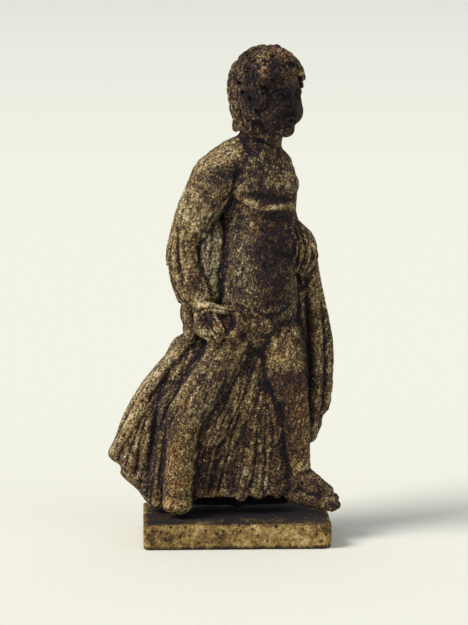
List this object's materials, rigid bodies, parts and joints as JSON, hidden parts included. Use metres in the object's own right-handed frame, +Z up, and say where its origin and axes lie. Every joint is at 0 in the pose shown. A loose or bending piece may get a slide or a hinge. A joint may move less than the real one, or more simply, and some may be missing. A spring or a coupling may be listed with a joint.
{
  "type": "boy statuette",
  "caption": "Moulded terracotta statuette of a striding boy with a cloak over both forearms, standing on a rectangular slab plinth; a shelf or display ornament.",
  "frame": {"origin": "centre of the plinth's underside, where the statuette rests", "axes": "+Z up along the standing figure, -Y towards the viewer of its front, +X towards the viewer's right, which is the way the boy strides"},
  "size_m": [0.0737, 0.034, 0.1585],
  "materials": {
    "slipped_terracotta": "worn pale slip over brown fired clay, matt",
    "bare_terracotta": "bare ochre fired clay with small pores, matt"
  },
  "bodies": {
    "root": {"boy_figure": "slipped_terracotta", "plinth": "bare_terracotta"}
  },
  "joints": []
}
